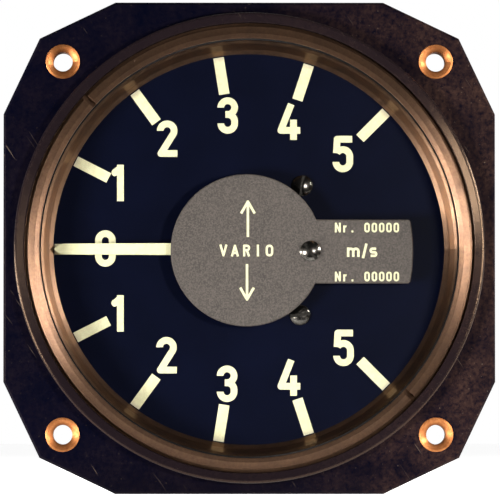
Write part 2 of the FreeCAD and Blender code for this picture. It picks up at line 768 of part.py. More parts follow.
def bow(x, z, radius, start, finish):
    """A stroke along part of a circle, between two angles in degrees."""
    return ("bow", (x, z, radius, start, finish))


GLYPHS = {
    "0": [
        bow(0, BOW, SIDE, 0, 180),
        bow(0, -BOW, SIDE, 180, 360),
        line((-SIDE, -BOW), (-SIDE, BOW)),
        line((SIDE, -BOW), (SIDE, BOW)),
    ],
    "1": [line((0.35, BOTTOM), (0.35, TOP)), line((-0.9, 1.68), (-0.6, 1.75), (0.35, 2.55))],
    "2": [
        bow(0, BOW, SIDE, -35, 180),
        line((0.96, 0.68), (-1.05, -LINE_TOP), (1.75, -LINE_TOP)),
    ],
    "3": [
        bow(0, BOW, SIDE, -90, 180),
        bow(0, -1.0, SIDE, 0, 90),
        line((SIDE, -1.0), (SIDE, -BOW)),
        bow(0, -BOW, SIDE, 180, 360),
        line((-0.4, 0.175), (0, 0.175)),
    ],
    "4": [line((0.42, 3.0), (-1.35, -1.48), (1.95, -1.48)), line((0.8, 0.35), (0.8, BOTTOM))],
    "5": [
        line((1.6, LINE_TOP), (-0.95, LINE_TOP), (-1.1, 0.15)),
        bow(0, -0.42, SIDE, 0, 150),
        line((SIDE, -0.42), (SIDE, -BOW)),
        bow(0, -BOW, SIDE, 180, 360),
    ],
    "V": [line((-1.6, TOP), (0, -2.5), (1.6, TOP))],
    "A": [line((-1.6, BOTTOM), (0, 2.5), (1.6, BOTTOM)), line((-1.0, -1.3), (1.0, -1.3))],
    "R": [
        line((-1.2, BOTTOM), (-1.2, LINE_TOP), (0.2, LINE_TOP)),
        bow(0.2, BOW, SIDE, -90, 90),
        line((-1.2, 0.175), (0.2, 0.175), (1.4, BOTTOM)),
    ],
    "I": [line((0, BOTTOM), (0, TOP))],
    "O": [
        bow(0, 1.1, 1.425, 0, 180),
        bow(0, -1.1, 1.425, 180, 360),
        line((-1.425, -1.1), (-1.425, 1.1)),
        line((1.425, -1.1), (1.425, 1.1)),
    ],
    "N": [line((-1.3, BOTTOM), (-1.3, 2.6), (1.3, -2.6), (1.3, TOP))],
    "r": [line((-0.6, BOTTOM), (-0.6, 1.3)), bow(0.55, -0.45, SIDE, 75, 180)],
    ".": [line((0, BOTTOM), (0, -1.9))],
    "m": [
        line((-2.4, BOTTOM), (-2.4, 1.3)),
        bow(-1.2, -0.5, 1.2, 0, 180),
        line((0, BOTTOM), (0, -0.5)),
        bow(1.2, -0.5, 1.2, 0, 180),
        line((2.4, BOTTOM), (2.4, -0.5)),
    ],
    "/": [line((-0.8, BOTTOM - 0.6), (0.8, TOP))],
    "s": [
        line((1.25, 0.7), (-0.45, 0.7)),
        bow(-0.45, -0.125, 0.825, 90, 270),
        line((-0.45, -0.95), (0.45, -0.95)),
        bow(0.45, -1.775, 0.825, -90, 90),
        line((0.45, -2.6), (-1.3, -2.6)),
    ],
}


def plan_face(points, depth):
    """A flat face at one depth with straight edges through (x, z) points."""
    corners = [FreeCAD.Vector(x, depth, z) for x, z in points]
    return Part.Face(Part.makePolygon(corners + corners[:1]))


def straight_stroke(start, finish, half, depth):
    """Rectangle round the line from start to finish."""
    run = math.hypot(finish[0] - start[0], finish[1] - start[1])
    side_x = -(finish[1] - start[1]) / run * half
    side_z = (finish[0] - start[0]) / run * half
    corners = [
        (start[0] + side_x, start[1] + side_z),
        (start[0] - side_x, start[1] - side_z),
        (finish[0] - side_x, finish[1] - side_z),
        (finish[0] + side_x, finish[1] + side_z),
    ]
    return plan_face(corners, depth)


def bowed_stroke(centre, radius, start, finish, half, depth):
    """Sector of a flat ring between two angles."""

    def at(distance, angle):
        across_x = distance * math.cos(math.radians(angle))
        up_z = distance * math.sin(math.radians(angle))
        return FreeCAD.Vector(centre[0] + across_x, depth, centre[1] + up_z)

    middle = (start + finish) / 2
    inner = radius - half
    outer = radius + half
    outside = Part.Arc(at(outer, start), at(outer, middle), at(outer, finish)).toShape()
    inside = Part.Arc(at(inner, start), at(inner, middle), at(inner, finish)).toShape()
    first = Part.makeLine(at(inner, start), at(outer, start))
    last = Part.makeLine(at(inner, finish), at(outer, finish))
    return Part.Face(Part.Wire(Part.__sortEdges__([outside, last, inside, first])))


def dot(centre, half, depth):
    """Round join between two strokes."""
    circle = Part.makeCircle(half, FreeCAD.Vector(centre[0], depth, centre[1]), FreeCAD.Vector(0, 1, 0))
    return Part.Face(Part.Wire(circle))


def stroke_faces(strokes, x, z, scale, pen, depth):
    """Faces of all strokes of one figure, scaled and centred on (x, z)."""
    half = pen / 2
    faces = []
    for kind, data in strokes:
        if kind == "line":
            points = [(x + scale * px, z + scale * pz) for px, pz in data]
            for start, finish in zip(points, points[1:]):
                faces.append(straight_stroke(start, finish, half, depth))
            for joint in points[1:-1]:
                faces.append(dot(joint, half, depth))
        else:
            px, pz, radius, start, finish = data
            centre = (x + scale * px, z + scale * pz)
            faces.append(bowed_stroke(centre, scale * radius, start, finish, half, depth))
    return faces


def painted(faces):
    """One solid of paint that stands on the faces towards -Y."""
    film = FreeCAD.Vector(0, -size("mark_height"), 0)
    solids = [face.extrude(film) for face in faces]
    if len(solids) == 1:
        return solids[0]
    return solids[0].multiFuse(solids[1:]).removeSplitter()


def written(text, x, z, height, pitch, depth):
    """A line of figures centred on (x, z); pitch is the distance from one to the next."""
    scale = height / GRID_HEIGHT
    start = x - pitch * (len(text) - 1) / 2
    solids = []
    for number, character in enumerate(text):
        if character != " ":
            strokes = GLYPHS[character]
            place_x = start + pitch * number
            solids.append(painted(stroke_faces(strokes, place_x, z, scale, PEN * scale, depth)))
    return solids


def paint_feature(label, solids):
    """A sub-part of loose painted marks."""
    feature = doc.addObject("Part::Feature", label)
    feature.Label = label
    pieces = [solid for item in solids for solid in item.Solids]
    feature.Shape = Part.makeCompound(pieces)
    return keep(feature)


def scale_bar(value, depth):
    """Radial bar for one whole value; 0 is at the left and climb is upwards."""
    angle = math.radians(180 - value * size("scale_step"))
    inner = size("bar_inner")
    outer = size("bar_outer")
    start = (inner * math.cos(angle), inner * math.sin(angle))
    finish = (outer * math.cos(angle), outer * math.sin(angle))
    return straight_stroke(start, finish, size("bar_width") / 2, depth)


def make_dial_markings():
    """Painted scale bars and figures of the dial."""
    depth = size("dial_front")
    height = size("digit_height")
    figures = {
        0: [(-24.4, 0.15)],
        1: [(-22.2, 11.3), (-22.2, -10.9)],
        2: [(-13.9, 18.85), (-14.0, -18.0)],
        3: [(-3.6, 22.8), (-3.7, -22.85)],
        4: [(6.8, 21.75), (6.8, -21.8)],
        5: [(16.0, 16.25), (16.1, -16.75)],
    }
    solids = [painted([scale_bar(value, depth)]) for value in range(-5, 6)]
    for value, places in figures.items():
        for x, z in places:
            solids += written(str(value), x, z, height, 0, depth)
    paint_feature("dial_markings", solids)


# ---------------------------------------------------------------- cover plate


def make_cover_plate():
    """Round plate over the pointer's hub, with a tab to the right."""
    body = new_body("cover_plate")
    round_part = disc("dims.cover_radius", "dims.cover_x", "dims.cover_z")
    pad(body, round_part, "dims.cover_front", "dims.cover_rear")
    corners = rectangle("dims.cover_x + 2", "dims.tab_corner", "dims.tab_bottom", "dims.tab_top")
    tab = outline(corners, {1: ("dims.tab_end", -1)})
    pad(body, tab, "dims.cover_front", "dims.cover_rear")
    doc.recompute()
    dress(body, "Fillet", upright_edges(body, size("tab_corner")), "dims.tab_round")
    dress(body, "Chamfer", outer_face_edges(body, size("cover_front")), "dims.cover_edge")
    hole = disc("dims.face_screw_shank + 0.05", "dims.cover_screw_x", "dims.cover_screw_z")
    pocket(body, hole, "dims.cover_front - 1", "dims.cover_rear + 1")
    keep(body)


def upright_edges(body, x):
    """Names of the straight edges parallel to Y at this X."""
    names = []
    for number, edge in enumerate(body.Shape.Edges, start=1):
        if all(abs(vertex.Point.x - x) < 1e-4 for vertex in edge.Vertexes) and edge.Length > 0:
            if abs(edge.Vertexes[0].Point.y - edge.Vertexes[-1].Point.y) > 1e-4:
                names.append(f"Edge{number}")
    return names


def outer_face_edges(body, depth):
    """Names of every edge that lies in the face at this depth."""
    names = []
    for number, edge in enumerate(body.Shape.Edges, start=1):
        box = edge.BoundBox
        if abs(box.YMin - depth) < 1e-4 and abs(box.YMax - depth) < 1e-4:
            names.append(f"Edge{number}")
    return names


def arrow_strokes(direction):
    """Straight arrow of two barbs, 6 long, pointing up (+1) or down (-1)."""
    tip = 3.0 * direction
    barb = 1.0 * direction
    return [line((0, -tip), (0, tip)), line((-1.15, barb), (0, tip), (1.15, barb))]


def make_cover_markings():
    """Painted arrows, the word, the unit and two blank number lines of the cover plate."""
    depth = size("cover_front")
    pen = 0.42
    solids = [
        painted(stroke_faces(arrow_strokes(1), -0.2, 5.0, 1.0, pen, depth)),
        painted(stroke_faces(arrow_strokes(-1), -0.35, -5.6, 1.0, pen, depth)),
    ]
    solids += written("VARIO", -0.45, -0.3, 2.0, 1.95, depth)
    for character, x in (("m", 17.66), ("/", 19.6), ("s", 21.08)):
        solids += written(character, x, -0.25, 2.25, 0, depth)
    for z in (3.6, -4.7):
        solids += written("Nr. 00000", 20.0, z, 1.65, 1.24, depth)
    paint_feature("cover_markings", solids)


def make_cover_spacer():
    """Block that holds the cover plate clear of the pointer, with two locating pegs."""
    body = new_body("cover_spacer")

    def block(sketch):
        sides = rectangle("dims.spacer_inner", "dims.spacer_outer", "-dims.spacer_half", "dims.spacer_half")
        draw_outline(sketch, sides)
        draw_circle(sketch, "dims.face_screw_shank + 0.05", "dims.cover_screw_x", "dims.cover_screw_z")

    def pegs(sketch):
        draw_circle(sketch, "dims.peg_radius", "dims.peg_inner", "dims.cover_screw_z")
        draw_circle(sketch, "dims.peg_radius", "dims.peg_outer", "dims.cover_screw_z")

    pad(body, block, "dims.cover_rear", "dims.dial_front")
    pad(body, pegs, "dims.dial_front - 0.5", "dims.dial_rear")
    keep(body)


def make_face_screws():
    """The cover screw, and the two dial screws as a group."""
    head = "dims.face_screw_head"
    shank = "dims.face_screw_shank"
    cover = screw("cover_screw", head, shank, "dims.cover_screw_length")
    keep(place(cover, "dims.cover_screw_x", "dims.cover_screw_z", "dims.cover_front", -53))
    pair = []
    places = (("upper", "dims.upper_screw_angle", 82), ("lower", "dims.lower_screw_angle", 8))
    for name, angle, slot in places:
        single = screw(f"dial_screw_{name}", head, shank, "dims.dial_screw_length")
        x = across("dims.screw_ring", angle)
        z = upward("dims.screw_ring", angle)
        pair.append(place(single, x, z, "dims.dial_front", slot))
    keep(group("dial_screws", pair))


# ---------------------------------------------------------------- pointer, shaft and vane


def make_pointer():
    """Flat pointer to the left, with a pointed tip and a round boss."""
    body = new_body("pointer")

    corners = [
        ("0", "-dims.pointer_root_half"),
        ("0", "dims.pointer_root_half"),
        ("-dims.pointer_neck", "dims.pointer_tip_half"),
        ("-dims.pointer_tip", "0"),
        ("-dims.pointer_neck", "-dims.pointer_tip_half"),
    ]
    ogive = ("dims.pointer_ogive", -1)
    pad(body, outline(corners, {2: ogive, 3: ogive}), "dims.pointer_front", "dims.pointer_rear")
    pad(body, disc("dims.pointer_boss"), "dims.pointer_front", "dims.pointer_rear")
    pocket(body, disc("dims.hub_neck"), "dims.pointer_front - 1", "dims.pointer_rear + 1")
    keep(body)


def make_shaft_pieces():
    """Hub, arbor, collet and vane tube, all turned about the instrument's axis."""
    hub = [
        ("dims.hub_bore", "dims.hub_front"),
        ("dims.hub_head", "dims.hub_front"),
        ("dims.hub_head", "dims.pointer_front"),
        ("dims.hub_neck", "dims.pointer_front"),
        ("dims.hub_neck", "dims.pointer_rear"),
        ("dims.hub_radius", "dims.pointer_rear"),
        ("dims.hub_radius", "dims.hub_rear"),
        ("dims.hub_bore", "dims.hub_rear"),
    ]
    keep(turned("pointer_hub", hub))
    arbor = [
        ("0", "dims.arbor_front"),
        ("dims.hub_bore", "dims.arbor_front"),
        ("dims.hub_bore", "dims.arbor_step"),
        ("dims.arbor_radius", "dims.arbor_step"),
        ("dims.arbor_radius", "dims.arbor_shoulder"),
        ("dims.arbor_pivot", "dims.arbor_shoulder"),
        ("dims.arbor_pivot", "dims.arbor_rear"),
        ("0", "dims.arbor_rear"),
    ]
    keep(turned("arbor", arbor))
    bore = "dims.arbor_radius"
    keep(ring("hairspring_collet", bore, "dims.collet_radius", "dims.collet_front", "dims.collet_rear"))
    keep(ring("vane_tube", bore, "dims.vane_hub_radius", "dims.vane_front", "dims.vane_rear"))


def make_vane():
    """Flat sheet that the air pushes round the chamber."""
    vane = doc.addObject("Part::Box", "vane")
    vane.Label = "vane"
    vane.setExpression("Length", "dims.vane_tip - dims.vane_hub_radius")
    vane.setExpression("Width", "dims.vane_rear - dims.vane_front")
    vane.setExpression("Height", "dims.vane_sheet")
    vane.setExpression("Placement.Base.x", "-dims.vane_tip")
    vane.setExpression("Placement.Base.y", "dims.vane_front")
    vane.setExpression("Placement.Base.z", "-0.5 * dims.vane_sheet")
    keep(vane)


def make_balance_weight():
    """Segment opposite the vane that balances vane and pointer about the shaft."""
    body = new_body("balance_weight")
    half = "(dims.balance_angle / 2)"
    low = f"-{half}"

    inner = "dims.balance_inner"
    outer = "dims.balance_outer"
    corners = [
        (across(inner, low), upward(inner, low)),
        (across(outer, low), upward(outer, low)),
        (across(outer, half), upward(outer, half)),
        (across(inner, half), upward(inner, half)),
    ]
    segment = outline(corners, {1: (outer, -1), 3: (inner, 1)})
    thin = "dims.balance_arm_half"
    arm = outline(rectangle("0", "dims.balance_inner + 1", f"-{thin}", thin))
    for part in (segment, arm, disc("dims.collet_radius")):
        pad(body, part, "dims.balance_front", "dims.balance_rear")
    pocket(body, disc("dims.arbor_radius"), "dims.balance_front - 1", "dims.balance_rear + 1")
    keep(body)


def make_hairspring():
    """Flat spiral strip from the collet to the stud."""
    turns = size("spring_turns")
    inner = size("spring_inner")
    outer = size("spring_outer")
    strip = size("spring_strip")
    end_angle = math.radians(size("adjuster_angle") - 6)
    steps = int(turns * 16)

    def spiral(offset):
        points = []
        for step in range(steps + 1):
            part = step / steps
            angle = end_angle - (1 - part) * turns * 2 * math.pi
            radius = inner + (outer - inner) * part + offset
            points.append(FreeCAD.Vector(radius * math.cos(angle), 0, radius * math.sin(angle)))
        curve = Part.BSplineCurve()
        curve.interpolate(points)
        return curve.toShape()

    near = spiral(0)
    far = spiral(strip)
    ends = [
        Part.makeLine(near.firstVertex().Point, far.firstVertex().Point),
        Part.makeLine(near.lastVertex().Point, far.lastVertex().Point),
    ]
    face = Part.Face(Part.Wire(Part.__sortEdges__([near, ends[1], far, ends[0]])))
    spring = doc.addObject("Part::Feature", "hairspring")
    spring.Label = "hairspring"
    spring.Shape = face.extrude(FreeCAD.Vector(0, size("spring_rear") - size("spring_front"), 0))
    spring.setExpression("Placement.Base.y", "dims.spring_front")
    keep(spring)


# ---------------------------------------------------------------- zero regulator


def gear_face(teeth, turn):
    """Flat involute gear in the XZ plane; turn is the direction of one tooth."""
    builder = fcgear.FCWireBuilder()
    involute.CreateExternalGear(builder, size("gear_module"), int(teeth), 25, True, 0.8, 1.2, 0.3)
    edges = [edge.toShape() for edge in builder.wire]
    face = Part.Face(Part.Wire(edges))
    face.rotate(FreeCAD.Vector(), FreeCAD.Vector(0, 0, 1), turn)
    face.rotate(FreeCAD.Vector(), FreeCAD.Vector(1, 0, 0), 90)
    return face


def thick(face, front, rear):
    """A face in the XZ plane filled between two depths."""
    solid = face.extrude(FreeCAD.Vector(0, size(rear) - size(front), 0))
    solid.translate(FreeCAD.Vector(0, size(front), 0))
    return solid


def make_regulator_arm():
    """Arm on the bridge's boss with a toothed sector that the adjuster's pinion drives."""
    direction = size("adjuster_angle")
    half = math.radians(size("sector_angle") / 2)
    middle = math.radians(direction)
    reach = size("gear_module") * size("sector_teeth")

    def away(radius, angle):
        return (radius * math.cos(angle), radius * math.sin(angle))

    wedge = plan_face([(0, 0), away(reach, middle - half), away(reach, middle + half)], 0)
    gear = gear_face(size("sector_teeth"), direction)
    inner = dot((0, 0), size("sector_inner"), 0)
    sector = gear.common(wedge).cut(inner)
    arm = straight_stroke((0, 0), away(size("sector_inner") + 1, middle), size("regulator_half"), 0)
    eye = dot((0, 0), size("regulator_eye"), 0)
    flat = sector.Faces[0].fuse([arm, eye]).cut(dot((0, 0), size("regulator_bore"), 0)).removeSplitter()
    arm_feature = doc.addObject("Part::Feature", "regulator_arm")
    arm_feature.Label = "regulator_arm"
    arm_feature.Shape = thick(flat.Faces[0], "regulator_front", "regulator_rear")
    keep(arm_feature)
    stud_x = across("dims.spring_outer", "dims.adjuster_angle")
    stud_z = upward("dims.spring_outer", "dims.adjuster_angle")
    stud_front = "dims.regulator_rear"
    keep(rod("hairspring_stud", "dims.stud_radius", stud_front, "dims.stud_rear", stud_x, stud_z))
    clip_front = "dims.regulator_rear + 0.03"
    clip_rear = "dims.bridge_boss_rear"
    keep(ring("regulator_clip", "dims.bridge_boss", "dims.clip_radius", clip_front, clip_rear))


def make_zero_adjuster():
    """Slotted shaft through the rear wall, its pinion and its O-ring."""
    x = across(GEAR_DISTANCE, "dims.adjuster_angle")
    z = upward(GEAR_DISTANCE, "dims.adjuster_angle")
    shaft = turned(
        "zero_adjust_shaft",
        [
            ("0", "dims.pinion_front"),
            ("dims.adjuster_tail", "dims.pinion_front"),
            ("dims.adjuster_tail", "dims.pinion_rear"),
            ("dims.adjuster_radius", "dims.pinion_rear"),
            ("dims.adjuster_radius", "dims.adjuster_head_front"),
            ("dims.adjuster_head", "dims.adjuster_head_front"),
            ("dims.adjuster_head", "dims.adjuster_rear - 0.3"),
            ("dims.adjuster_head - 0.3", "dims.adjuster_rear"),
            ("0", "dims.adjuster_rear"),
        ],
    )
    slot = rectangle("-dims.rim_radius", "dims.rim_radius", "-0.35", "0.35")
    rear = "dims.adjuster_rear + 1"
    pocket(shaft, outline(slot), "dims.adjuster_rear - 1", rear, 30)
    keep(place(shaft, x, z))

    pinion = doc.addObject("Part::Feature", "zero_adjust_pinion")
    pinion.Label = "zero_adjust_pinion"
    facing = size("adjuster_angle") + 180 + 180 / size("pinion_teeth")
    face = gear_face(size("pinion_teeth"), facing).cut(dot((0, 0), size("adjuster_tail"), 0))
    pinion.Shape = thick(face.Faces[0], "pinion_front", "pinion_rear")
    pinion.setExpression("Placement.Base.x", x)
    pinion.setExpression("Placement.Base.z", z)
    keep(pinion)

    seal = doc.addObject("Part::Torus", "zero_adjust_seal")
    seal.Label = "zero_adjust_seal"
    seal.setExpression("Radius1", "dims.adjuster_radius + dims.adjuster_fit + dims.seal_section")
    seal.setExpression("Radius2", "dims.seal_section")
    upright = FreeCAD.Rotation(FreeCAD.Vector(1, 0, 0), -90)
    seal.Placement = FreeCAD.Placement(FreeCAD.Vector(), upright)
    seal.setExpression("Placement.Base.x", x)
    seal.setExpression("Placement.Base.y", "dims.seal_seat + dims.seal_section + 0.02")
    seal.setExpression("Placement.Base.z", z)
    keep(seal)


# ---------------------------------------------------------------- bridge and bearings


def make_pivot_bridge():
    """Plate behind the dial on three legs: it carries the front jewel and the regulator."""
    body = new_body("pivot_bridge")
    pad(body, disc("dims.bridge_radius"), "dims.dial_rear", "dims.bridge_rear")
    pad(body, disc("dims.bridge_boss"), "dims.bridge_rear", "dims.bridge_boss_rear")
    legs = on_a_ring("dims.leg_radius", "dims.leg_ring", LEG_ANGLES)
    pad(body, legs, "dims.bridge_rear", "dims.chamber_front")

    outer = "dims.bridge_window_outer"
    inner = "dims.bridge_window_inner"
    corners = [
        (across(inner, "-20"), upward(inner, "-20")),
        (across(outer, "-26"), upward(outer, "-26")),
        (across(outer, "26"), upward(outer, "26")),
        (across(inner, "20"), upward(inner, "20")),
    ]
    window = outline(corners, {1: (outer, -1), 3: (inner, 1)})
    front = "dims.dial_rear - 1"
    first = size("bridge_window_angle")
    for direction in (first, first + 60, first + 120):
        pocket(body, window, front, "dims.bridge_rear + 1", direction)
    pocket(body, disc("dims.jewel_radius"), front, "dims.bridge_boss_rear + 1")
    leg_holes = on_a_ring("dims.leg_screw_shank", "dims.leg_ring", LEG_ANGLES)
    pocket(body, leg_holes, front, "dims.chamber_front + 1")
    heads = on_a_ring("dims.leg_screw_head + 0.1", "dims.leg_ring", LEG_ANGLES)
    pocket(body, heads, front, "dims.leg_screw_seat")
    face_angles = ["dims.upper_screw_angle", "dims.lower_screw_angle"]
    face_holes = on_a_ring("dims.face_screw_shank", "dims.screw_ring", face_angles)
    pocket(body, face_holes, front, "dims.bridge_rear + 1")
    cover_hole = disc("dims.face_screw_shank", "dims.cover_screw_x", "dims.cover_screw_z")
    pocket(body, cover_hole, front, "dims.bridge_rear + 1")
    keep(body)


def ring_of_screws(label, head, shank, length, ring_radius, depth, angles, from_rear=False):
    """Identical screws on a ring, as one sub-part."""
    members = []
    for number, angle in enumerate(angles, start=1):
        single = screw(f"{label}_{number}", head, shank, length, from_rear)
        single.setExpression("Placement.Base.x", across(ring_radius, angle))
        single.setExpression("Placement.Base.y", depth)
        single.setExpression("Placement.Base.z", upward(ring_radius, angle))
        members.append(single)
    keep(group(label, members))


def make_bearings():
    """Front and rear jewels, the rear jewel's threaded setting, and the bridge's screws."""
    for name, rear in (("front_jewel", "dims.bridge_rear"), ("rear_jewel", "dims.rear_jewel_rear")):
        keep(ring(name, f"dims.{name}_hole", "dims.jewel_radius", f"dims.{name}_front", rear))
    setting = turned(
        "rear_jewel_screw",
        [
            ("dims.jewel_radius", "dims.rear_jewel_front"),
            ("dims.jewel_screw_radius", "dims.rear_jewel_front"),
            ("dims.jewel_screw_radius", "dims.jewel_screw_rear"),
            ("0", "dims.jewel_screw_rear"),
            ("0", "dims.rear_jewel_rear"),
            ("dims.jewel_radius", "dims.rear_jewel_rear"),
        ],
    )
    slot = rectangle("-dims.rim_radius", "dims.rim_radius", "-0.3", "0.3")
    past = "dims.jewel_screw_rear + 1"
    pocket(setting, outline(slot), "dims.jewel_screw_rear - 0.8", past)
    keep(setting)
    ring_of_screws(
        "bridge_screws",
        "dims.leg_screw_head",
        "dims.leg_screw_shank",
        "dims.leg_screw_length",
        "dims.leg_ring",
        "dims.leg_screw_seat",
        LEG_ANGLES,
    )


# ---------------------------------------------------------------- measuring chamber


def make_chamber():
    """Cup-shaped chamber body, its cover, the partition and the two stop pins."""
    cup = turned(
        "chamber_body",
        [
            ("dims.chamber_bore", "dims.chamber_joint"),
            ("dims.chamber_radius", "dims.chamber_joint"),
            ("dims.chamber_radius", "dims.chamber_rear"),
            ("0", "dims.chamber_rear"),
            ("0", "dims.chamber_floor"),
            ("dims.chamber_bore", "dims.chamber_floor"),
        ],
    )
    before_floor = "dims.chamber_floor - 1"
    past_rear = "dims.chamber_rear + 1"
    pocket(cup, disc("dims.jewel_screw_radius"), before_floor, past_rear)
    pocket(cup, on_a_ring("dims.port_radius", "dims.port_ring", PORT_ANGLES), before_floor, past_rear)
    tapped = on_a_ring("dims.mover_shank", "dims.wall_screw_ring", MOVER_ANGLES)
    mover_end = "dims.mover_seat - dims.mover_washer - dims.mover_length"
    pocket(cup, tapped, mover_end, past_rear)
    screw_holes = on_a_ring("dims.chamber_screw_shank", "dims.wall_screw_ring", CHAMBER_SCREW_ANGLES)
    pocket(cup, screw_holes, "dims.chamber_joint - 1", "dims.chamber_front + dims.chamber_screw_length")
    keep(cup)

    cover = new_body("chamber_cover")

    def draw(sketch):
        draw_circle(sketch, "dims.chamber_radius")
        draw_circle(sketch, "dims.cover_bore")
        on_a_ring("dims.chamber_screw_shank + 0.05", "dims.wall_screw_ring", CHAMBER_SCREW_ANGLES)(sketch)
        on_a_ring("dims.leg_screw_shank", "dims.leg_ring", LEG_ANGLES)(sketch)

    pad(cover, draw, "dims.chamber_front", "dims.chamber_joint")
    keep(cover)
    ring_of_screws(
        "chamber_cover_screws",
        "dims.chamber_screw_head",
        "dims.chamber_screw_shank",
        "dims.chamber_screw_length",
        "dims.wall_screw_ring",
        "dims.chamber_front",
        CHAMBER_SCREW_ANGLES,
    )

    wall = doc.addObject("Part::Box", "chamber_partition")
    wall.Label = "chamber_partition"
    wall.setExpression("Length", "dims.partition_outer - dims.partition_inner")
    wall.setExpression("Width", "dims.chamber_floor - dims.chamber_joint")
    wall.setExpression("Height", "2 * dims.partition_half")
    wall.setExpression("Placement.Base.x", "dims.partition_inner")
    wall.setExpression("Placement.Base.y", "dims.chamber_joint")
    wall.setExpression("Placement.Base.z", "-dims.partition_half")
    keep(wall)

    pins = []
    for name, angle in (("climb", "dims.stop_angle"), ("sink", "-dims.stop_angle")):
        x = across("dims.stop_ring", angle)
        z = upward("dims.stop_ring", angle)
        label = f"stop_pin_{name}"
        pins.append(rod(label, "dims.stop_radius", "dims.stop_front", "dims.chamber_floor", x, z))
    keep(group("vane_stop_pins", pins))


# ---------------------------------------------------------------- rear of the case


def nipple(label, angle, front):
    """Hose connection with a thread, a flange and a grooved spigot."""
    groove_start = "dims.nipple_flange_rear + 2"
    corners = [
        ("dims.port_radius", front),
        ("dims.nipple_thread", front),
        ("dims.nipple_thread", "dims.case_depth + dims.nipple_washer"),
        ("dims.nipple_flange", "dims.case_depth + dims.nipple_washer"),
        ("dims.nipple_flange", "dims.nipple_flange_rear"),
        ("dims.nipple_radius", "dims.nipple_flange_rear"),
    ]
    for number in range(3):
        start = f"{groove_start} + {2.2 * number}"
        corners += [
            ("dims.nipple_radius", start),
            ("dims.nipple_groove", f"{start} + 0.3"),
            ("dims.nipple_groove", f"{start} + 0.9"),
            ("dims.nipple_radius", f"{start} + 1.2"),
        ]
    corners += [
        ("dims.nipple_radius", "dims.nipple_rear - 0.6"),
        ("dims.nipple_radius - 0.5", "dims.nipple_rear"),
        ("dims.port_radius", "dims.nipple_rear"),
    ]
    body = turned(label, corners)
    return place(body, across("dims.port_ring", angle), upward("dims.port_ring", angle))


def make_connections():
    """Static and flask connections, their washers and the flask port's sleeve."""
    keep(nipple("static_nipple", "-dims.port_angle", "dims.case_floor"))
    keep(nipple("flask_nipple", "dims.port_angle", "dims.nipple_front"))
    washers = []
    for name, angle in (("static", "-dims.port_angle"), ("flask", "dims.port_angle")):
        rear = "dims.case_depth + dims.nipple_washer"
        washer = ring(f"washer_{name}", "dims.nipple_thread", "dims.nipple_flange", "dims.case_depth", rear)
        washers.append(place(washer, across("dims.port_ring", angle), upward("dims.port_ring", angle)))
    keep(group("nipple_washers", washers))
    outside = "dims.port_seal_radius"
    rear_wall = "dims.case_floor"
    sleeve = ring("flask_port_seal", "dims.nipple_thread", outside, "dims.chamber_rear", rear_wall)
    x = across("dims.port_ring", "dims.port_angle")
    z = upward("dims.port_ring", "dims.port_angle")
    keep(place(sleeve, x, z))


def make_movement_screws():
    """Three screws from the rear that hold the chamber, each on a sealing washer."""
    ring_of_screws(
        "movement_screws",
        "dims.mover_head",
        "dims.mover_shank",
        "dims.mover_length",
        "dims.wall_screw_ring",
        "dims.mover_seat + dims.mover_washer",
        MOVER_ANGLES,
        from_rear=True,
    )
    washers = []
    for number, angle in enumerate(MOVER_ANGLES, start=1):
        rear = "dims.mover_seat + dims.mover_washer"
        label = f"mover_washer_{number}"
        washer = ring(label, "dims.mover_shank", "dims.mover_head", "dims.mover_seat", rear)
        x = across("dims.wall_screw_ring", angle)
        z = upward("dims.wall_screw_ring", angle)
        washers.append(place(washer, x, z))
    keep(group("movement_washers", washers))


def make_rear_label():
    """Blank plate on the rear wall, with a drive rivet at each end."""
    body = new_body("rear_label_plate")
    left = "dims.label_x - dims.label_half_width"
    right = "dims.label_x + dims.label_half_width"
    low = "dims.label_z - dims.label_half_height"
    high = "dims.label_z + dims.label_half_height"
    sides = rectangle(left, right, low, high)
    rear = "dims.case_depth + dims.label_sheet"
    pad(body, outline(sides), "dims.case_depth", rear)
    keep(body)
    rivets = []
    for name, x in (("left", f"{left} + dims.rivet_inset"), ("right", f"{right} - dims.rivet_inset")):
        rivet = turned(
            f"rivet_{name}",
            [
                ("0", "0"),
                ("dims.rivet_radius", "0"),
                ("dims.rivet_radius", "dims.rivet_edge"),
                ("0", "dims.rivet_crown"),
            ],
            {2: (dome_radius("dims.rivet_radius", "dims.rivet_crown - dims.rivet_edge"), -1)},
        )
        rivets.append(place(rivet, x, "dims.label_z", rear))
    keep(group("label_rivets", rivets))


# ---------------------------------------------------------------- whole instrument


def check_document():
    """Stop if any object failed or any sub-part has no sound shape."""
    for item in doc.Objects:
        if "Invalid" in item.State or "Error" in item.State:
            raise RuntimeError(f"{item.Name} is {item.State}")
    for item in subparts:
        if item.Shape.isNull() or not item.Shape.isValid() or not item.Shape.Solids:
            raise RuntimeError(f"{item.Label} has no valid shape")


def export_subparts():
    """One STEP file for each sub-part."""
    os.makedirs("parts", exist_ok=True)
    for item in subparts:
        item.Shape.exportStep(f"parts/{item.Label}.step")
        print(f"{item.Label}: {len(item.Shape.Solids)} solid(s), {item.Shape.Volume:.2f} mm3")


fill_sheet()
make_case()
make_panel_inserts()
make_retaining_ring()
make_glazing()
make_dial()
make_dial_markings()
make_cover_plate()
make_cover_markings()
make_cover_spacer()
make_face_screws()
make_pointer()
make_shaft_pieces()
make_vane()
make_balance_weight()
make_hairspring()
make_regulator_arm()
make_zero_adjuster()
make_pivot_bridge()
make_bearings()
make_chamber()
make_connections()
make_movement_screws()
make_rear_label()
doc.recompute()
check_document()
export_subparts()
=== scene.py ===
import json
import math

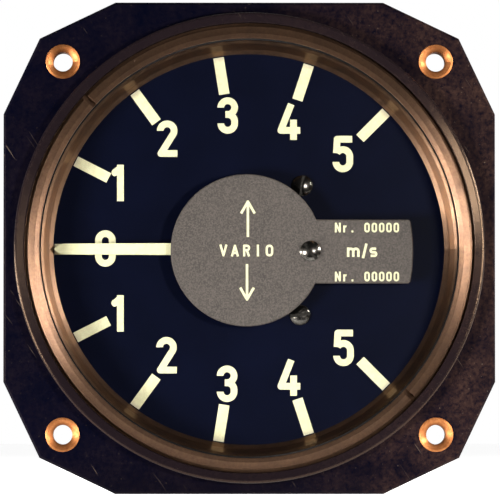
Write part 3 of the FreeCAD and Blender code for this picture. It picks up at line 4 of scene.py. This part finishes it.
import bpy
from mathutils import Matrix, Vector


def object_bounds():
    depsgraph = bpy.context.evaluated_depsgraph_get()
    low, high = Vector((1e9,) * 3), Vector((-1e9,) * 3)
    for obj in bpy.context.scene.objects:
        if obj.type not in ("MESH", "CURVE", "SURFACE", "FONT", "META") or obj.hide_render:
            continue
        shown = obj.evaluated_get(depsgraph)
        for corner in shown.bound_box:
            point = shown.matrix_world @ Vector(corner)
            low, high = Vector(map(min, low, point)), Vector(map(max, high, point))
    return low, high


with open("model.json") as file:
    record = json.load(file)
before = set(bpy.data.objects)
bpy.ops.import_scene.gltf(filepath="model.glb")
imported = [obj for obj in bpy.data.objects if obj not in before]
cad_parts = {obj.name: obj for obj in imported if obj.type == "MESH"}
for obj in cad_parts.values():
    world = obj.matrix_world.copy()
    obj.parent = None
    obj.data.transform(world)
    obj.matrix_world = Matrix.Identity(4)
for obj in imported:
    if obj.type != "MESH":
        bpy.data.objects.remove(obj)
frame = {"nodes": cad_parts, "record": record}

cad_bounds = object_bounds()

MM = 0.001

# Places that the materials follow: radii from the dial's axis, and depths along Y.
MOUNTS = {mount["name"]: mount["dims"] for mount in frame["record"]["mounts"]}
INSERT_REACH = MOUNTS["panel_screws"]["spacing_x_mm"] / 2 * MM  # from the axis, across and up
RIM_RADIUS = MOUNTS["panel_spigot"]["r_mm"] * MM
RING_THROAT = 33.25 * MM  # the reflector ring's opening at the dial
RING_KNEE = 6.8 * MM  # depth between its two cones
RING_CHAMFER = 3.1 * MM  # depth where its chamfer at the glass ends


# ---------------------------------------------------------------- node materials


class Paint:
    """One node material around a Principled shader, in the object's own coordinates."""

    def __init__(self, name):
        self.material = bpy.data.materials.new(name)
        self.material.use_nodes = True
        self.tree = self.material.node_tree
        self.shader = self.tree.nodes["Principled BSDF"]
        self.place = self.tree.nodes.new("ShaderNodeTexCoord").outputs["Object"]

    def node(self, kind, inputs, **settings):
        """A node with its settings made and its inputs set or linked."""
        made = self.tree.nodes.new(kind)
        for key, value in settings.items():
            setattr(made, key, value)
        for key, value in inputs.items():
            self.feed(made.inputs[key], value)
        return made

    def feed(self, socket, value):
        """Link an output to a socket, or set the socket's own value."""
        if isinstance(value, bpy.types.NodeSocket):
            self.tree.links.new(value, socket)
        else:
            socket.default_value = value

    def set(self, **inputs):
        """Sockets of the shader, named with _ for spaces."""
        for key, value in inputs.items():
            self.feed(self.shader.inputs[key.replace("_", " ")], value)

    def math(self, operation, first, second=0.0):
        """Result of one operation on numbers or number outputs."""
        made = self.node("ShaderNodeMath", {0: first, 1: second}, operation=operation)
        return made.outputs[0]

    def spread(self, value, low, high, to_low=0.0, to_high=1.0):
        """Stretch a value from one range to another, clamped."""
        inputs = {"Value": value, 1: low, 2: high, 3: to_low, 4: to_high}
        return self.node("ShaderNodeMapRange", inputs, clamp=True).outputs[0]

    def blend(self, factor, first, second):
        """Mix of two colours or colour outputs."""
        made = self.tree.nodes.new("ShaderNodeMix")
        made.data_type = "RGBA"
        self.feed(made.inputs[0], factor)
        for socket, value in ((made.inputs[6], first), (made.inputs[7], second)):
            self.feed(socket, value if isinstance(value, bpy.types.NodeSocket) else (*value, 1.0))
        return made.outputs[2]

    def noise(self, size, detail=3.0, rough=0.55, place=None):
        """Noise whose blobs are about size metres across; 0 to 1."""
        inputs = {
            "Vector": place or self.place,
            "Scale": 1 / size,
            "Detail": detail,
            "Roughness": rough,
        }
        return self.node("ShaderNodeTexNoise", inputs).outputs["Fac"]

    def stretched(self, x=1.0, y=1.0, z=1.0, turn=(0.0, 0.0, 0.0)):
        """Coordinates turned and then scaled, for scratches and brushing."""
        turned = self.node("ShaderNodeMapping", {"Vector": self.place, "Rotation": turn})
        made = self.node("ShaderNodeMapping", {"Vector": turned.outputs[0], "Scale": (x, y, z)})
        return made.outputs[0]

    def axes(self):
        """The three coordinates as separate outputs."""
        return self.node("ShaderNodeSeparateXYZ", {"Vector": self.place}).outputs

    def length(self, across, up):
        """Length of a vector with two parts."""
        squares = self.math("ADD", self.math("MULTIPLY", across, across), self.math("MULTIPLY", up, up))
        return self.math("SQRT", squares)

    def radius(self):
        """Distance from the dial's axis."""
        x, _, z = self.axes()
        return self.length(x, z)

    def lathe_lines(self, radius, pitch):
        """Fine uneven rings of a turned face, 0 to 1."""
        inputs = {"W": radius, "Scale": 1 / pitch, "Detail": 4.0, "Roughness": 0.7}
        return self.node("ShaderNodeTexNoise", inputs, noise_dimensions="1D").outputs["Fac"]

    def turned_gloss(self, amount):
        """Highlights drawn out across the rings of a face that was turned about the dial's axis."""
        tangent = self.node("ShaderNodeTangent", {}, direction_type="RADIAL", axis="Y").outputs[0]
        self.set(Tangent=tangent, Anisotropic=amount, Anisotropic_Rotation=0.25)

    def bump(self, *layers):
        """Bump layers of (height, depth in metres), joined one after another."""
        normal = None
        for height, depth in layers:
            inputs = {"Height": height, "Distance": depth, "Strength": 1.0}
            if normal is not None:
                inputs["Normal"] = normal
            normal = self.node("ShaderNodeBump", inputs).outputs[0]
        self.feed(self.shader.inputs["Normal"], normal)


def scuffs(paint, slant):
    """Share of the case hidden by short scratches and by dust, which thickens to the right."""
    along = paint.stretched(1.0, 1.0, 0.05, (0.0, 0.6, 0.0))
    scratch = paint.spread(paint.noise(0.5 * MM, 2.0, place=along), 0.70, 0.74, 0.0, 0.6)
    specks = paint.spread(paint.noise(0.42 * MM, 1.0), 0.72, 0.77)
    dust = paint.math("MULTIPLY", specks, paint.spread(slant, -10 * MM, 45 * MM, 0.3, 1.0))
    return paint.math("MULTIPLY", paint.math("MAXIMUM", scratch, dust), 0.65)


def rim_gloss(paint, slant, rim):
    """Specular level of the case: low, but higher on the rim's right side and its outer edge."""
    worn = paint.spread(slant, -38 * MM, 38 * MM, 0.0, 0.29)
    edge = paint.spread(paint.radius(), RIM_RADIUS - 0.55 * MM, RIM_RADIUS - 0.40 * MM, 0.0, 0.30)
    polish = paint.math("MULTIPLY", rim, paint.math("ADD", worn, edge))
    return paint.math("ADD", polish, 0.055)


def case_moulding():
    """Dark phenolic: mottled blue-black, with a brown painted sheen towards the front right, and a turned
    rim.
    """
    paint = Paint("case_phenolic")
    x, y, z = paint.axes()
    slant = paint.math("ADD", x, paint.math("MULTIPLY", z, 0.08))
    front = paint.spread(y, 9 * MM, 1 * MM, 0.12, 1.0)
    rim = paint.spread(y, -0.3 * MM, -0.9 * MM)
    mottle = paint.spread(paint.noise(0.9 * MM, 6.0, 0.78), 0.36, 0.78)
    wide = paint.spread(paint.noise(7 * MM, 4.0, 0.6), 0.35, 0.65)
    dark = paint.blend(wide, (0.0005, 0.0010, 0.0052), (0.0016, 0.0014, 0.0056))
    # painted sheen: the base colour turns brown towards the right and the front, where the right-hand light
    # catches the flange
    painted_sheen = paint.math("MULTIPLY", paint.spread(slant, 5 * MM, 32 * MM), front)
    brown = paint.blend(painted_sheen, (0.0065, 0.0050, 0.0088), (0.064, 0.0335, 0.0250))
    share = paint.math("MULTIPLY", mottle, paint.spread(wide, 0.0, 1.0, 0.25, 1.0))
    colour = paint.blend(share, dark, brown)
    colour = paint.blend(scuffs(paint, slant), colour, (0.16, 0.120, 0.095))
    colour = paint.blend(paint.math("MULTIPLY", rim, 0.75), colour, (0.011, 0.0070, 0.0080))
    rough = paint.spread(paint.math("ADD", mottle, wide), 0.0, 2.0, 0.22, 0.33)
    paint.set(Base_Color=colour, Roughness=rough)
    paint.set(Specular_IOR_Level=rim_gloss(paint, slant, rim), Specular_Tint=(1.0, 0.66, 0.42, 1.0))
    paint.turned_gloss(paint.spread(rim, 0.0, 1.0, 0.0, 0.9))
    paint.bump((paint.noise(0.30 * MM, 3.0), 0.008 * MM), (paint.noise(1.6 * MM, 2.0), 0.02 * MM))
    return paint.material


def insert_brass():
    """Brass with a copper cast, its rings and highlights round each insert's own bore."""
    paint = Paint("insert_brass")
    x, _, z = paint.axes()
    across = paint.math("SUBTRACT", x, paint.math("MULTIPLY", paint.math("SIGN", x), INSERT_REACH))
    up = paint.math("SUBTRACT", z, paint.math("MULTIPLY", paint.math("SIGN", z), INSERT_REACH))
    distance = paint.length(across, up)
    stain = paint.spread(paint.noise(0.8 * MM, 4.0), 0.35, 0.7)
    colour = paint.blend(stain, (0.62, 0.245, 0.085), (0.42, 0.145, 0.045))
    colour = paint.blend(paint.spread(distance, 2.2 * MM, 1.6 * MM), colour, (0.20, 0.070, 0.025))
    rough = paint.spread(stain, 0.0, 1.0, 0.46, 0.56)
    paint.set(Base_Color=colour, Metallic=0.92, Roughness=rough)
    parts = {"X": up, "Z": paint.math("MULTIPLY", across, -1.0)}
    tangent = paint.node("ShaderNodeCombineXYZ", parts).outputs[0]
    paint.set(Tangent=tangent, Anisotropic=0.8, Anisotropic_Rotation=0.25)
    rings = paint.lathe_lines(distance, 0.09 * MM)
    paint.bump((rings, 0.002 * MM), (paint.noise(0.3 * MM, 2.0), 0.012 * MM))
    return paint.material


def ring_alloy():
    """Dark brown anodised ring, turned, speckled and with small nicks."""
    paint = Paint("ring_anodised")
    stain = paint.spread(paint.noise(3.0 * MM, 4.0, 0.6), 0.35, 0.7)
    speckle = paint.spread(paint.noise(0.45 * MM, 3.0, 0.65), 0.38, 0.68, 0.0, 0.55)
    nick = paint.noise(0.5 * MM, 2.0, place=paint.stretched(1.0, 1.0, 0.3, (0.0, 0.8, 0.0)))
    nick = paint.spread(nick, 0.73, 0.77)
    colour = paint.blend(stain, (0.235, 0.134, 0.080), (0.172, 0.102, 0.066))
    colour = paint.blend(speckle, colour, (0.125, 0.067, 0.050))
    colour = paint.blend(nick, colour, (0.06, 0.04, 0.035))
    rough = paint.spread(paint.noise(0.9 * MM, 3.0), 0.3, 0.7, 0.39, 0.46)
    paint.set(Base_Color=colour, Metallic=0.90, Roughness=rough)
    paint.turned_gloss(1.0)
    paint.bump((paint.lathe_lines(paint.radius(), 0.06 * MM), 0.004 * MM), (nick, 0.01 * MM))
    return paint.material


def reflector_satin():
    """Satin brown turned ring: darker upper cone, with the lower cone and the chamfer painted lighter as a
    painted highlight.
    """
    paint = Paint("reflector_satin")
    _, depth, _ = paint.axes()
    cone = paint.spread(depth, RING_KNEE - 0.2 * MM, RING_KNEE + 0.2 * MM)
    chamfer = paint.spread(depth, RING_CHAMFER + 0.1 * MM, RING_CHAMFER - 0.1 * MM)
    haze = paint.spread(paint.noise(2.5 * MM, 3.0), 0.35, 0.7)
    upper_cone_tone = paint.blend(haze, (0.235, 0.118, 0.064), (0.150, 0.084, 0.055))
    painted_highlight_tone = paint.blend(haze, (0.330, 0.190, 0.118), (0.220, 0.130, 0.090))
    # painted highlight: the lower cone and the chamfer at the glass get a lighter brown, where the ring's
    # bands catch the light
    colour = paint.blend(paint.math("MAXIMUM", cone, chamfer), upper_cone_tone, painted_highlight_tone)
    paint.set(Base_Color=colour, Metallic=0.97, Roughness=paint.spread(haze, 0.0, 1.0, 0.37, 0.43))
    paint.turned_gloss(1.0)
    paint.bump((paint.lathe_lines(paint.radius(), 0.15 * MM), 0.004 * MM))
    return paint.material


def window_glass():
    """Clear flat glass: seen through everywhere, with gloss that grows towards grazing angles."""
    paint = Paint("window_glass")
    smear = paint.spread(paint.noise(9 * MM, 4.0), 0.4, 0.7, 0.015, 0.06)
    gloss = paint.node("ShaderNodeBsdfGlossy", {"Roughness": smear}).outputs[0]
    clear = paint.node("ShaderNodeBsdfTransparent", {"Color": (0.985, 0.99, 0.985, 1.0)}).outputs[0]
    slope = paint.node("ShaderNodeLayerWeight", {}).outputs["Facing"]
    share = paint.spread(paint.math("POWER", slope, 5.0), 0.0, 1.0, 0.034, 1.0)
    surface = paint.node("ShaderNodeMixShader", {0: share, 1: clear, 2: gloss}).outputs[0]
    paint.feed(paint.tree.nodes["Material Output"].inputs["Surface"], surface)
    paint.tree.nodes.remove(paint.shader)
    return paint.material


def black_rubber():
    """Matt black rubber with bloom."""
    paint = Paint("rubber")
    bloom = paint.spread(paint.noise(1.2 * MM, 4.0), 0.4, 0.75)
    paint.set(Base_Color=paint.blend(bloom, (0.006, 0.006, 0.007), (0.018, 0.017, 0.017)))
    paint.set(Roughness=paint.spread(bloom, 0.0, 1.0, 0.66, 0.78), Specular_IOR_Level=0.12)
    paint.bump((paint.noise(0.2 * MM, 2.0), 0.01 * MM))
    return paint.material


def dial_black():
    """Matt blue-black dial paint with a fine tooth and a few dust specks."""
    paint = Paint("dial_paint")
    tooth = paint.noise(0.12 * MM, 2.0)
    cloud = paint.spread(paint.noise(7 * MM, 3.0), 0.3, 0.7)
    dust = paint.spread(paint.noise(0.35 * MM, 1.0), 0.80, 0.84, 0.0, 0.3)
    colour = paint.blend(cloud, (0.0003, 0.0013, 0.0095), (0.0008, 0.0020, 0.0125))
    colour = paint.blend(dust, colour, (0.05, 0.05, 0.06))
    rough = paint.spread(tooth, 0.3, 0.7, 0.36, 0.46)
    paint.set(Base_Color=colour, Roughness=rough, Specular_IOR_Level=0.05)
    paint.bump((tooth, 0.006 * MM))
    return paint.material


def cream_paint(name, grain, light, dark, wall_shade=0.0):
    """Thick cream luminous paint, slightly uneven, with painted shade in grey where it meets the ring's
    wall.
    """
    paint = Paint(name)
    uneven = paint.spread(paint.noise(0.7 * MM, 4.0, 0.6), 0.35, 0.7)
    colour = paint.blend(uneven, light, dark)
    near_wall = (RING_THROAT - 1.15 * MM, RING_THROAT - 0.25 * MM)
    # painted shade: the paint turns grey near the ring's wall, where the wall shades the bars' outer ends
    wall = paint.spread(paint.radius(), *near_wall, 0.0, wall_shade)
    colour = paint.blend(wall, colour, (0.36, 0.31, 0.28))
    paint.set(Base_Color=colour, Roughness=0.62, Specular_IOR_Level=0.3)
    paint.bump((paint.noise(grain, 3.0), 0.008 * MM))
    return paint.material


def cover_grey():
    """Warm grey sprayed plate with a fine glittering grain."""
    paint = Paint("cover_grey")
    grain = paint.noise(0.24 * MM, 3.0, 0.7)
    patch = paint.spread(paint.noise(3.5 * MM, 3.0), 0.35, 0.68)
    base = paint.blend(patch, (0.074, 0.063, 0.060), (0.060, 0.052, 0.050))
    colour = paint.blend(paint.spread(grain, 0.42, 0.60), base, (0.120, 0.103, 0.096))
    rough = paint.spread(grain, 0.3, 0.7, 0.45, 0.65)
    paint.set(Base_Color=colour, Metallic=0.15, Roughness=rough, Specular_IOR_Level=0.25)
    paint.bump((grain, 0.014 * MM))
    return paint.material


def metal(name, light, dark, rough, stretch=(1.0, 1.0, 1.0)):
    """Bare metal: two tones of tarnish and a fine machined grain."""
    paint = Paint(name)
    tarnish = paint.spread(paint.noise(2.0 * MM, 4.0, 0.6), 0.35, 0.7)
    lines = paint.noise(0.10 * MM, 3.0, place=paint.stretched(*stretch))
    colour = paint.blend(tarnish, light, dark)
    value = paint.spread(paint.math("ADD", tarnish, lines), 0.2, 1.6, rough * 0.8, rough * 1.35)
    paint.set(Base_Color=colour, Metallic=1.0, Roughness=value)
    paint.bump((lines, 0.004 * MM))
    return paint.material


def ruby():
    """Deep red synthetic stone."""
    paint = Paint("ruby")
    depth = paint.spread(paint.noise(0.8 * MM, 2.0), 0.3, 0.7)
    colour = paint.blend(depth, (0.42, 0.010, 0.035), (0.26, 0.004, 0.020))
    paint.set(Base_Color=colour, Roughness=paint.spread(depth, 0.0, 1.0, 0.06, 0.12), Coat_Weight=0.5)
    return paint.material


def chamber_moulding():
    """Matt dark moulding of the measuring chamber."""
    paint = Paint("chamber_moulding")
    mottle = paint.spread(paint.noise(1.5 * MM, 4.0), 0.35, 0.7)
    colour = paint.blend(mottle, (0.030, 0.027, 0.027), (0.050, 0.044, 0.042))
    paint.set(Base_Color=colour, Roughness=paint.spread(mottle, 0.0, 1.0, 0.42, 0.58))
    paint.bump((paint.noise(0.3 * MM, 3.0), 0.010 * MM))
    return paint.material


def dress_nodes():
    """Give every CAD node the finished material of its slot."""
    finished = {
        "case_moulding": case_moulding(),
        "insert_brass": insert_brass(),
        "ring_alloy": ring_alloy(),
        "window_glass": window_glass(),
        "black_rubber": black_rubber(),
        "black_gloss": reflector_satin(),
        "dial_black": dial_black(),
        "mark_paint": cream_paint("mark_paint", 0.25 * MM, (0.87, 0.86, 0.58), (0.78, 0.74, 0.47), 0.5),
        # painted light: the pointer's cream is lighter than the marks' cream so it reads lit against the
        # shaded zero bar
        "pointer_paint": cream_paint("pointer_paint", 0.15 * MM, (0.92, 0.91, 0.60), (0.85, 0.82, 0.51)),
        "cover_grey": cover_grey(),
        "bare_aluminium": metal("aluminium", (0.44, 0.44, 0.45), (0.32, 0.32, 0.335), 0.38, (0.06, 1, 1.6)),
        "dark_screw": metal("dark_screw", (0.22, 0.205, 0.19), (0.11, 0.10, 0.095), 0.20),
        "brass": metal("brass", (0.80, 0.60, 0.30), (0.62, 0.42, 0.18), 0.28),
        "steel": metal("steel", (0.60, 0.60, 0.62), (0.45, 0.45, 0.47), 0.26),
        "jewel_ruby": ruby(),
        "chamber_moulding": chamber_moulding(),
        "nipple_alloy": metal("nipple_alloy", (0.46, 0.46, 0.475), (0.32, 0.32, 0.34), 0.27, (1, 8, 1)),
    }
    slots = {part["node"]: part["material_slot"] for part in frame["record"]["subparts"]}
    for name, node in frame["nodes"].items():
        node.data.materials.clear()
        node.data.materials.append(finished[slots[name]])


# ---------------------------------------------------------------- studio


def make_floor(low):
    """Pale tabletop just under the flange: it runs far back, and ends a little in front."""
    half = 2.5
    front = -0.03
    mesh = bpy.data.meshes.new("floor")
    corners = [(-half, front, 0), (half, front, 0), (half, half, 0), (-half, half, 0)]
    mesh.from_pydata(corners, [], [(0, 1, 2, 3)])
    floor = bpy.data.objects.new("floor", mesh)
    floor.location.z = low
    bpy.context.scene.collection.objects.link(floor)
    paint = Paint("floor_pale")
    cloud = paint.spread(paint.noise(0.3, 2.0), 0.3, 0.7)
    paint.set(Base_Color=paint.blend(cloud, (0.86, 0.86, 0.86), (0.90, 0.90, 0.90)), Roughness=0.8)
    paint.set(Emission_Color=(1.0, 1.0, 1.0, 1.0), Emission_Strength=0.80)
    mesh.materials.append(paint.material)


def make_world():
    """White surroundings for the eye, a dim one with a brighter rear half for the light."""
    seen = 1.0
    in_front = 0.015
    behind = 0.50
    world = bpy.data.worlds.new("studio")
    bpy.context.scene.world = world
    world.use_nodes = True
    tree = world.node_tree
    place = tree.nodes.new("ShaderNodeTexCoord")
    axes = tree.nodes.new("ShaderNodeSeparateXYZ")
    tree.links.new(place.outputs["Generated"], axes.inputs[0])
    rearward = tree.nodes.new("ShaderNodeMapRange")
    for index, value in ((1, 0.05), (2, 0.7), (3, in_front), (4, behind)):
        rearward.inputs[index].default_value = value
    tree.links.new(axes.outputs["Y"], rearward.inputs["Value"])
    path = tree.nodes.new("ShaderNodeLightPath")
    strength = tree.nodes.new("ShaderNodeMix")
    tree.links.new(path.outputs["Is Camera Ray"], strength.inputs[0])
    tree.links.new(rearward.outputs[0], strength.inputs[2])
    strength.inputs[3].default_value = seen
    background = tree.nodes["Background"]
    background.inputs["Color"].default_value = (1.0, 1.0, 1.0, 1.0)
    tree.links.new(strength.outputs[0], background.inputs["Strength"])


def soft_light(name, place, aim, size, power):
    """Square soft box in a slightly warm white that looks at a point."""
    lamp = bpy.data.lights.new(name, "AREA")
    lamp.shape = "SQUARE"
    lamp.size = size
    lamp.energy = power
    lamp.color = (1.0, 0.965, 0.91)
    light = bpy.data.objects.new(name, lamp)
    light.location = place
    light.rotation_euler = (Vector(aim) - Vector(place)).to_track_quat("-Z", "Y").to_euler()
    bpy.context.scene.collection.objects.link(light)


def around(polar, turn, distance):
    """Point at an angle from the dial's axis, towards a clock direction, both in degrees."""
    across = math.sin(math.radians(polar))
    side = across * math.cos(math.radians(turn))
    up = across * math.sin(math.radians(turn))
    return (distance * side, -distance * math.cos(math.radians(polar)), distance * up)


def make_lights():
    """One near the axis on the right, one lower on the left, a grazing pair, and two behind."""
    dial = (0, 0, 0)
    back = (0, 0.03, 0)
    soft_light("side_left", around(44, 196, 0.32), dial, 0.09, 1.25)
    soft_light("key_right", around(27, 4, 0.33), dial, 0.05, 0.84)
    soft_light("graze_left", around(77, 186, 0.35), dial, 0.07, 1.40)
    soft_light("graze_right", around(74, 17, 0.35), dial, 0.07, 1.12)
    soft_light("rear_left", (-0.45, 0.45, 0.40), back, 0.40, 4.0)
    soft_light("rear_right", (0.50, 0.35, 0.30), back, 0.30, 2.0)


def make_camera():
    """Long lens a little to the left of the dial's axis and below it."""
    frame_width = 84.35 * MM
    distance = 1.0
    left = distance * math.sin(math.radians(0.6))
    below = distance * math.sin(math.radians(1.7))
    aim = Vector((0.11 * MM, 0.0, 0.0))
    place = Vector((-left, -distance, -below))
    lens = bpy.data.cameras.new("camera")
    lens.sensor_width = 36.0
    lens.lens = lens.sensor_width * distance / frame_width
    lens.clip_start = 0.05
    lens.clip_end = 20.0
    camera = bpy.data.objects.new("camera", lens)
    camera.location = aim + place
    camera.rotation_euler = (-place).to_track_quat("-Z", "Y").to_euler()
    bpy.context.scene.collection.objects.link(camera)
    bpy.context.scene.camera = camera


dress_nodes()
make_floor(cad_bounds[0].z)
make_world()
make_lights()
make_camera()
bpy.context.scene.view_settings.view_transform = "Standard"
